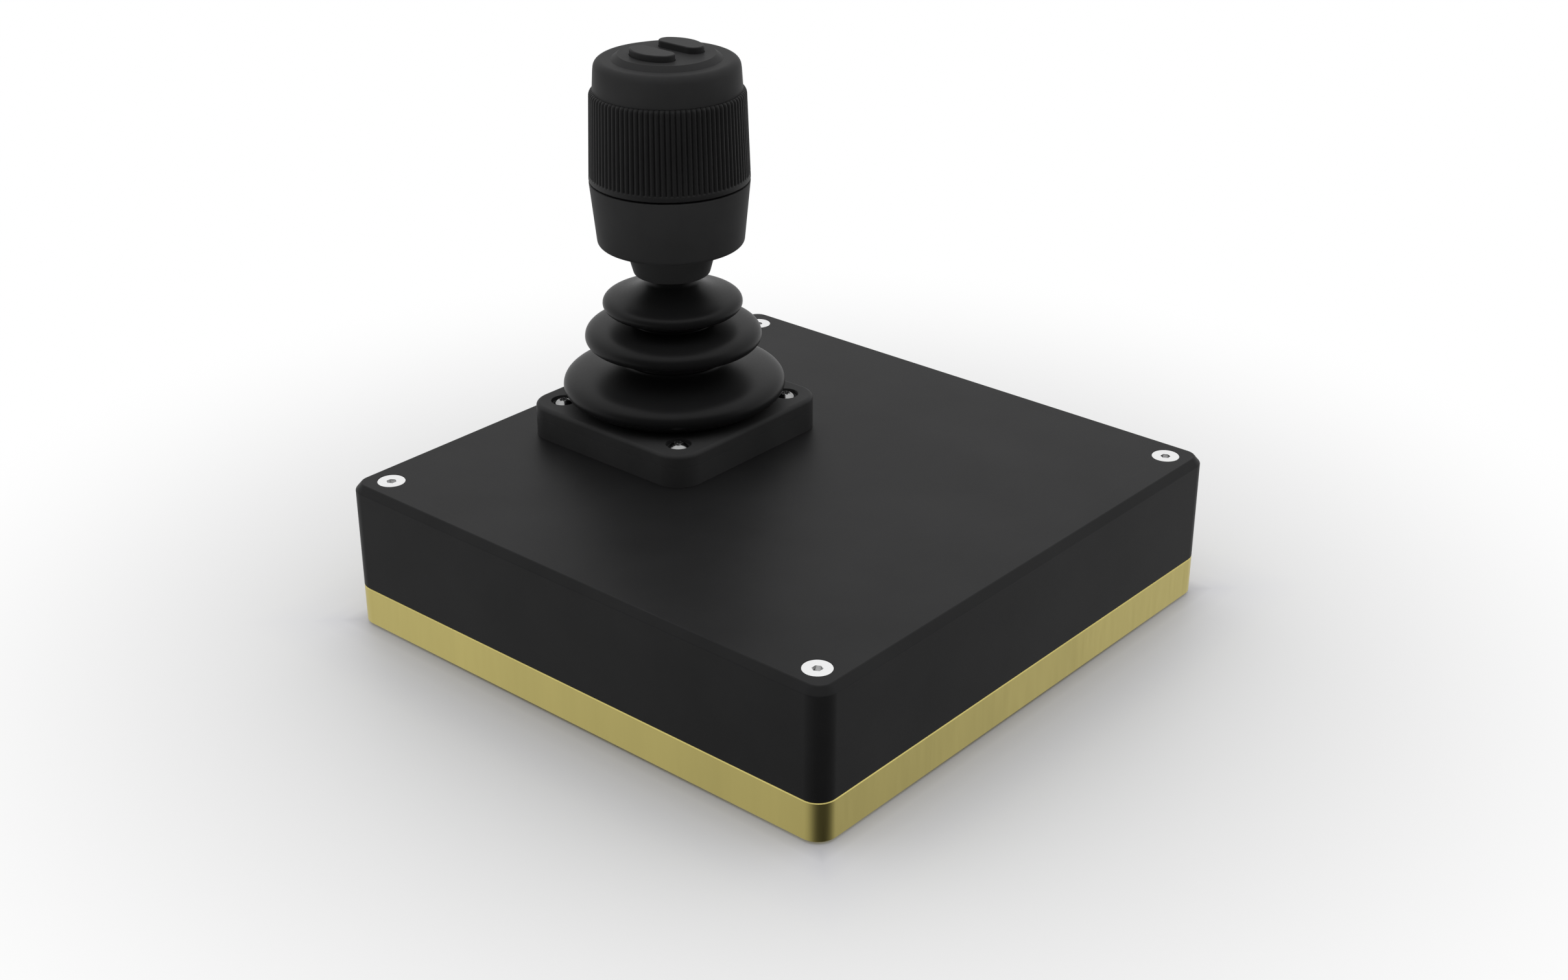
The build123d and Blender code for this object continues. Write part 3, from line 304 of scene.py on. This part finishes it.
boot = {
    "wall": 1.2,
    "baseR": 26.1, "base": (6.3, 8.5),    # upright foot inside the clamp plate
    "radius": (32.54, 25.73, 20.29),      # lobes, bottom to top
    "height": (15.51, 30.33, 40.44),      # widest place above the case
    "nose": (9.6, 2.2, 6.7),              # how far the rounded underside reaches in
    "drop": (4.42, 2.1, 3.03),            # and down
    "rise": (5.57, 3.80, 3.67),           # how long the upper side stays upright
    "reach": (7.67, 8.49, 8.06),          # and how long it keeps the slope at its root
    "slope": (35.0, 4.6, 39.5),           # degrees
    "rootR": (15.1, 12.3, 7.2),
    "rootHeight": (23.1, 35.0, 47.3),
    "waist": (3.0, 1.4), "waistIn": 0.2,  # upright wall above a root, and how far inside the root it lies
    "lip": 0.45, "lipIn": 0.4,            # raised ring at each root, and the share of it that is let in
    "meet": 21.3,                         # where the lower piece ends and the upper begins, on the first lobe
    "bend": 8.5,                          # height over which the upper piece takes up the sideways tilt
    "neckR": 7.2, "top": 50.4,            # collar, which ends inside the neck cone
    "segments": 160,
}


# Upper side of a lobe: a cubic from the widest place, upright there, to its root, at a slope.
def lobeTop(k):
    r, z, a = boot["radius"][k], boot["height"][k], math.radians(boot["slope"][k])
    rootR, rootZ, reach = boot["rootR"][k], boot["rootHeight"][k], boot["reach"][k]
    return bezier((r, z), (r, z + boot["rise"][k]),
                  (rootR + reach * math.cos(a), rootZ - reach * math.sin(a)), (rootR, rootZ))


# Underside of a lobe: level from an inner radius, then a quarter ellipse to the widest place.
def lobeUnder(k, innerR):
    r, z, a, b = boot["radius"][k], boot["height"][k], boot["nose"][k], boot["drop"][k]
    t = np.radians(np.linspace(-90, 0, 15))
    nose = np.stack([r - a + a * np.cos(t), z + b * np.sin(t)], -1)
    nose = nose[nose[:, 0] > innerR + boot["waistIn"]]
    start = [[innerR, np.interp(innerR, [r - a, nose[0, 0]], [z - b, nose[0, 1]])]]
    if innerR < r - a:
        start = [[innerR, z - b], [(innerR + r - a) / 2, z - b]]
    return np.concatenate([start, nose[:-1]])


# Small rounded ring where a lobe meets the upright root above it.
def rootLip(k):
    r, z, lip = boot["rootR"][k], boot["rootHeight"][k], boot["lip"]
    return arc((r - lip * boot["lipIn"], z), lip, 0, 90, 5)


# Closed section of a wall: the outer line, then the same line moved inwards along its normal.
def wallLoop(outer, thickness):
    step = np.gradient(outer, axis=0)
    step /= np.maximum(np.linalg.norm(step, axis=1, keepdims=True), 1e-9)
    inner = outer + np.stack([-step[:, 1], step[:, 0]], -1) * thickness
    return np.concatenate([outer, inner[::-1], outer[:1]])


shoulder = lobeTop(0)
meetRow = int(np.searchsorted(shoulder[:, 1], boot["meet"]))
waistR = [r - boot["waistIn"] for r in boot["rootR"]]
waistTop = [z + rise for z, rise in zip(boot["rootHeight"], boot["waist"])]
lowerSide = np.concatenate([
    [[boot["baseR"], z] for z in boot["base"]],
    lobeUnder(0, boot["baseR"]),
    shoulder[:meetRow + 1],
])
upperSide = np.concatenate([
    shoulder[meetRow:-1],
    rootLip(0),
    [[waistR[0], waistTop[0]]],
    lobeUnder(1, boot["rootR"][0]),
    lobeTop(1)[:-1],
    rootLip(1),
    [[waistR[1], waistTop[1]]],
    lobeUnder(2, waistR[1]),
    lobeTop(2)[:-1],
    [[boot["neckR"], boot["rootHeight"][2]], [boot["neckR"], boot["top"]]],
])
lowerBoot = turnPiece("lowerBoot", wallLoop(lowerSide, boot["wall"]), boot["segments"], 60)
upperBoot = turnPiece("upperBoot", wallLoop(upperSide, boot["wall"]), boot["segments"], 60)
for piece in (lowerBoot, upperBoot):
    dress(piece, "boot_rubber", None, "boot")
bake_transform(lowerBoot)
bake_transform(upperBoot)
print("boot made")


cup = {"bottomR": 21.0, "topR": 22.85, "bottom": 58.75, "top": 77.3, "edge": 1.35, "lipEdge": 0.25,
       "wall": 2.6, "floor": 3.5, "shaftR": 4.05, "segments": 160}
cupLean = math.degrees(math.atan2(cup["topR"] - cup["bottomR"], cup["top"] - cup["bottom"]))
cupSide = np.concatenate([
    [[cup["shaftR"], cup["bottom"]], [cup["bottomR"] - cup["edge"] - 1, cup["bottom"]]],
    roundedFoot(cup["bottomR"], cup["bottom"], cup["edge"], cupLean),
    arc((cup["topR"] - cup["lipEdge"], cup["top"] - cup["lipEdge"]), cup["lipEdge"], -cupLean, 90, 5),
    [[cup["topR"] - cup["wall"], cup["top"]],
     [cup["bottomR"] - cup["wall"], cup["bottom"] + cup["floor"]],
     [cup["shaftR"], cup["bottom"] + cup["floor"]], [cup["shaftR"], cup["bottom"]]],
])
dress(turnPiece("handleCup", cupSide, cup["segments"], 50), "handle_plastic", "stick", "handle_cup")

cone = {"bottomR": 10.95, "topR": 13.5, "bottom": 49.5, "edge": 0.8, "recessR": 7.5, "recess": 1.2,
        "recessEdge": 0.15, "segments": 128}
coneLean = math.degrees(math.atan2(cone["topR"] - cone["bottomR"], cup["bottom"] - cone["bottom"]))
coneSide = np.concatenate([
    [[cup["shaftR"], cone["bottom"] + cone["recess"]], [cone["recessR"], cone["bottom"] + cone["recess"]],
     [cone["recessR"], cone["bottom"] + cone["recessEdge"]],
     [cone["recessR"] + cone["recessEdge"], cone["bottom"]]],
    roundedFoot(cone["bottomR"], cone["bottom"], cone["edge"], coneLean),
    [[cone["topR"], cup["bottom"]], [cup["shaftR"], cup["bottom"]],
     [cup["shaftR"], cone["bottom"] + cone["recess"]]],
])
dress(turnPiece("neckCone", coneSide, cone["segments"], 50), "handle_plastic", "stick", "neck_cone")

grip = {
    "ribs": 92, "perRib": 12,               # ribs, and the points round each
    "depth": 0.6, "crest": 2.1,             # of a groove; a higher power makes the ribs' crests broader
    "bottom": 77.8, "ring": 1.6, "top": 103.3, "bottomR": 22.9, "topR": 22.0, "boreR": 19.6,
    "shoulder": 1.0, "shoulderDrop": 1.3, "edge": 0.3,
}


# Radius = straight taper, less a narrow groove once per rib, which starts above the plain ring and runs out on
# the shoulder. Its depth is a power of the distance from the rib's crest, so the crests are broad and round.
def ribbedSide():
    count = grip["ribs"] * grip["perRib"]
    a = np.arange(count) * 2 * math.pi / count
    groove = (1 - 2 * np.abs((a * grip["ribs"] / (2 * math.pi)) % 1 - 0.5)) ** grip["crest"]
    low, high = grip["bottom"], grip["top"]
    ringTop = low + grip["ring"]
    # height, how far off the taper, and share of the groove's depth
    rows = [(low, -grip["edge"], 0), (low + 0.1, -0.09, 0), (low + grip["edge"], 0, 0),
            (ringTop - 0.25, 0, 0), (ringTop - 0.05, -0.04, 0), (ringTop + 0.15, -0.05, 0.85),
            (ringTop + 0.35, 0, 1)]
    rows += [(z, 0, 1) for z in np.linspace(ringTop + 3, high - grip["shoulderDrop"] - 1, 8)]
    rows += [(high - grip["shoulderDrop"] * (1 - math.sin(t)), -grip["shoulder"] * (1 - math.cos(t)), 1)
             for t in np.radians((0, 22, 45, 67, 85, 90))]
    rows = np.array(rows)
    z = rows[:, 0:1]
    taper = grip["bottomR"] + (grip["topR"] - grip["bottomR"]) * (z - low) / (high - low)
    radius = taper + rows[:, 1:2] - grip["depth"] * rows[:, 2:3] * groove
    side = np.stack([radius * np.cos(a), stickY + radius * np.sin(a), z + caseTop + 0 * a], -1)
    return side, a


gripRows, gripAngles = ribbedSide()
bore = [np.stack([grip["boreR"] * np.cos(gripAngles), stickY + grip["boreR"] * np.sin(gripAngles),
                  np.full(len(gripAngles), caseTop + z)], -1) for z in (grip["top"], grip["bottom"])]
gripLoops = np.concatenate([gripRows, bore, gripRows[:1]])
twistGrip = makePiece("twistGrip", gripLoops.reshape(-1, 3), gridFaces(len(gripLoops), len(gripAngles)), 75)
dress(twistGrip, "grip_plastic", "grip", "twist_grip")

cap = {"bottomR": 21.0, "topR": 20.5, "bottom": 103.3, "top": 112.05, "edge": 2.4, "discR": 15.55,
       "innerR": 18.8, "holeR": 13.05, "under": 2.2, "segments": 160}
capSide = np.concatenate([
    [[cap["innerR"], cap["bottom"]], [cap["bottomR"] - 0.05, cap["bottom"]],
     [cap["bottomR"], cap["bottom"] + 0.1]],
    [[cap["topR"] + 0.14, cap["top"] - cap["edge"] - 0.6]],
    arc((cap["topR"] + 0.05 - cap["edge"], cap["top"] - cap["edge"]), cap["edge"], 3, 90, 12),
    [[cap["discR"] + 1.2, cap["top"]], [cap["holeR"], cap["top"]],
     [cap["holeR"], cap["top"] - cap["under"]], [cap["innerR"], cap["top"] - cap["under"]],
     [cap["innerR"], cap["bottom"]]],
])
dress(turnPiece("handleCap", capSide, cap["segments"], 50), "handle_plastic", "grip", "handle_cap")
print("handle made")


# Hard pieces whose real edges are broken: CAD node, width and steps of the rounding, rim that it is kept to (0 for
# everywhere), slot and body. The tray's chamfers are in the CAD model.
softPieces = {
    "caseShell": ("top_shell", 0.25, 3, 3.5, "case_black", "base"),
    "goldTray": ("base_tray", 0.0, 1, 0.0, "case_gold", "base"),
    "cornerScrews": ("case_screws", 0.12, 2, 0.0, "screw_steel", "base"),
    "stickFlange": ("joystick_body", 0.35, 3, 3.5, "bezel_plastic", "base"),
    "clampPlate": ("boot_bezel", 0.35, 3, 3.5, "bezel_plastic", "base"),
    "flangeScrews": ("flange_screws", 0.08, 3, 0.0, "screw_steel", "base"),
    "thumbDisc": ("button_disc", 0.15, 3, 7.0, "handle_plastic", "grip"),
    "cableSocket": ("panel_socket", 0.15, 3, 0.0, "socket_nickel", "base"),
}
for name, (node, width, steps, rim, slot, body) in softPieces.items():
    dress(softEdged(name, node, width, steps, rim), slot, body, node)

# The springs under the thumb buttons: smooth-shaded copies of their CAD nodes, without rounding.
for side in ("left", "right"):
    node = side + "_button_spring"
    spring = softEdged(side + "ButtonSpring", node, 0.0)
    spring.modifiers.clear()
    dress(spring, "spring_steel", "grip", node)
    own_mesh(spring)
print("hard pieces made,", len(softPieces) + 2)


view = {"place": (-0.42577, -0.36683, 0.31542), "turn": (63.689, 0.0, -49.28), "lens": 50.0, "sensor": 36.0,
        "nearest": 0.01}
cameraData = bpy.data.cameras.new("camera")
cameraData.lens = view["lens"]
cameraData.sensor_width = view["sensor"]
cameraData.clip_start = view["nearest"]
camera = addObject("camera", cameraData)
camera.location = view["place"]
camera.rotation_euler = [math.radians(a) for a in view["turn"]]
bpy.context.scene.camera = camera

ground = {
    "half": 3.0,                    # half its width, metres
    "caseHalf": 0.0875,             # half the case's width
    "contact": 0.025,               # width of the band beside the case over which the painted shade and cool tint below run
    # painted shade: the floor's colour darkens and cools towards the case, by distance from the case's sides
    "paintedShadeTones": ((0.0, (0.58, 0.585, 0.645)), (0.16, (0.78, 0.785, 0.835)), (0.4, (0.86, 0.862, 0.885)),
              (1.0, (0.90, 0.90, 0.90))),
    "fade": (0.08, 0.29),           # distance from the middle over which the floor turns white, metres
    "roughness": 0.5,
}


# Pale floor with painted shade that darkens it at the case and a painted cool tint there that cancels the gold's
# bounce light; it fades to plain white.
def makeFloor():
    half = ground["half"]
    mesh = bpy.data.meshes.new("studioFloor")
    corners = [(-half, -half, 0), (half, -half, 0), (half, half, 0), (-half, half, 0)]
    mesh.from_pydata(corners, [], [(0, 1, 2, 3)])
    floor = addObject("studioFloor", mesh)
    floor.visible_glossy = False   # reflections show the room, as in the photograph
    material = bpy.data.materials.new("paleFloorWithPaintedShade")
    material.use_nodes = True
    tree = material.node_tree
    shader = tree.nodes["Principled BSDF"]
    shader.inputs["Roughness"].default_value = ground["roughness"]
    place = addNode(tree, "TexCoord", {}).outputs["Object"]
    away = addNode(tree, "VectorMath", {0: place}, operation="LENGTH").outputs["Value"]
    sides = addNode(tree, "VectorMath", {0: place}, operation="ABSOLUTE").outputs["Vector"]
    parts = addNode(tree, "SeparateXYZ", {"Vector": sides}).outputs
    square = addNode(tree, "Math", {0: parts["X"], 1: parts["Y"]}, operation="MAXIMUM").outputs[0]
    beside = mapRange(tree, square, ground["caseHalf"], ground["caseHalf"] + ground["contact"])
    # painted shade and cool tint beside the case, read from the ramp by distance to the case's square
    tree.links.new(colourRamp(tree, beside, ground["paintedShadeTones"]), shader.inputs["Base Color"])
    fade = mapRange(tree, away, *ground["fade"], kind="SMOOTHSTEP")
    rays = addNode(tree, "LightPath", {}).outputs["Is Camera Ray"]
    seen = addNode(tree, "Math", {0: fade, 1: rays}, operation="MULTIPLY").outputs[0]
    glow = addNode(tree, "Emission", {"Color": (1, 1, 1, 1)}).outputs["Emission"]
    mix = addNode(tree, "MixShader", {"Fac": seen, 1: shader.outputs["BSDF"], 2: glow}).outputs["Shader"]
    tree.links.new(mix, tree.nodes["Material Output"].inputs["Surface"])
    mesh.materials.append(material)


room = {
    "white": 1.0,                         # what the camera sees
    "top": 1.07, "topFrom": (0.45, 0.9),  # light overhead, and the heights over which it comes in
    "side": 0.84, "front": 0.045,         # light at the sides and the back, and behind the camera
    "turn": (-0.05, 0.6),                 # from the one to the other, by the cosine to the dark side
    "low": 0.25, "lowTo": (-0.8, -0.3),   # share of it that is left far below the horizon
    "aimHigh": (-0.758, -0.652, 0.0),     # the dark side above the horizon
    "aimLow": (-0.454, -0.891, 0.38), "aimDrop": -0.35,   # and below it, turned to the right
}


# A number mixed from low to high.
def mixNumber(tree, share, low, high):
    return addNode(tree, "Mix", {"Factor": share, 2: low, 3: high}, data_type="FLOAT").outputs[0]


# Soft room around the object: strength by the direction's height and by its cosine to the dark side.
def makeRoom():
    world = bpy.data.worlds.new("studioRoom")
    bpy.context.scene.world = world
    world.use_nodes = True
    tree = world.node_tree
    sky = tree.nodes["Background"]
    sky.inputs["Color"].default_value = (1, 1, 1, 1)
    place = addNode(tree, "TexCoord", {}).outputs["Generated"]
    height = addNode(tree, "SeparateXYZ", {"Vector": place}).outputs["Z"]
    under = mapRange(tree, height, 0.0, room["aimDrop"])
    dark = addNode(tree, "Mix", {"Factor": under, 4: room["aimHigh"], 5: room["aimLow"]},
                   data_type="VECTOR").outputs[1]
    aim = addNode(tree, "VectorMath", {0: place, 1: dark}, operation="DOT_PRODUCT").outputs["Value"]
    around = mapRange(tree, aim, *room["turn"], room["side"], room["front"], kind="SMOOTHSTEP")
    upward = mapRange(tree, height, *room["topFrom"], kind="SMOOTHSTEP")
    downward = mapRange(tree, height, *room["lowTo"], low=room["low"], kind="SMOOTHSTEP")
    wall = addNode(tree, "Math", {0: around, 1: downward}, operation="MULTIPLY").outputs[0]
    level = mixNumber(tree, upward, wall, room["top"])
    rays = addNode(tree, "LightPath", {}).outputs["Is Camera Ray"]
    tree.links.new(mixNumber(tree, rays, level, room["white"]), sky.inputs["Strength"])


makeFloor()
makeRoom()
bpy.context.scene.view_settings.view_transform = "Standard"
print("stage made")
